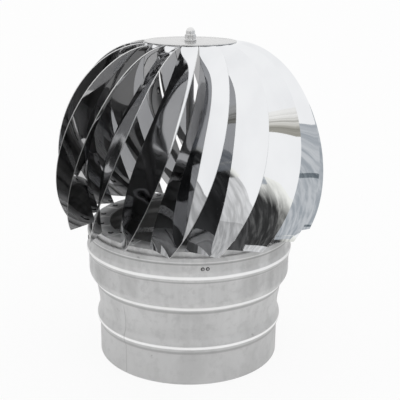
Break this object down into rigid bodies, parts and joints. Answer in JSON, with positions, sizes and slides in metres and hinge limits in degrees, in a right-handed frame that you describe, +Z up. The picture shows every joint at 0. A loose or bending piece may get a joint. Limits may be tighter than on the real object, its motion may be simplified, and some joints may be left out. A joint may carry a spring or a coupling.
{
  "type": "chimney cowl",
  "caption": "Wind-driven chimney cowl: a ball of twisted polished steel blades turning on a bearing spider inside a beaded round flue stub.",
  "frame": {"origin": "centre of the stub's bottom edge, on the axis the rotor turns about", "axes": "+Z up along the spindle, -Y the front with the gap between two blades in the middle, +X to the right of the front view"},
  "size_m": [0.2864, 0.2868, 0.3566],
  "materials": {
    "polished_stainless": "mirror polished stainless sheet",
    "satin_stainless": "satin stainless sheet with the mill grain running round",
    "plain_stainless": "plain stainless sheet and flat bar",
    "turned_steel": "turned steel",
    "bearing_steel": "ground bearing steel",
    "spring_steel": "blackened spring steel",
    "rivet_steel": "stainless rivet heads",
    "polished_fastener": "polished stainless fasteners"
  },
  "bodies": {
    "stub": {"stub_tube": "satin_stainless", "spider_arm_1": "plain_stainless", "spider_arm_2": "plain_stainless", "spider_arm_3": "plain_stainless", "spider_arm_4": "plain_stainless", "spider_rivets": "rivet_steel", "bearing_housing": "turned_steel", "lower_housing_clip": "spring_steel", "upper_housing_clip": "spring_steel", "lower_outer_race": "bearing_steel", "upper_outer_race": "bearing_steel", "lower_bearing_balls": "bearing_steel", "upper_bearing_balls": "bearing_steel"},
    "rotor": {"spindle": "turned_steel", "spindle_clip": "spring_steel", "lower_inner_race": "bearing_steel", "upper_inner_race": "bearing_steel", "lower_washer": "polished_fastener", "clamp_plate": "plain_stainless", "top_disc": "polished_stainless", "upper_washer": "polished_fastener", "acorn_nut": "polished_fastener", "rotor_ring": "plain_stainless", "foot_rivets": "rivet_steel", "blade_01": "polished_stainless", "blade_02": "polished_stainless", "blade_03": "polished_stainless", "blade_04": "polished_stainless", "blade_05": "polished_stainless", "blade_06": "polished_stainless", "blade_07": "polished_stainless", "blade_08": "polished_stainless", "blade_09": "polished_stainless", "blade_10": "polished_stainless", "blade_11": "polished_stainless", "blade_12": "polished_stainless", "blade_13": "polished_stainless", "blade_14": "polished_stainless", "blade_15": "polished_stainless", "blade_16": "polished_stainless", "blade_17": "polished_stainless", "blade_18": "polished_stainless"}
  },
  "joints": [
    {"name": "rotor_spin", "type": "hinge", "parent": "stub", "child": "rotor", "pos_m": [0, 0, 0.149], "axis": [0, 0, 1], "continuous": true}
  ]
}
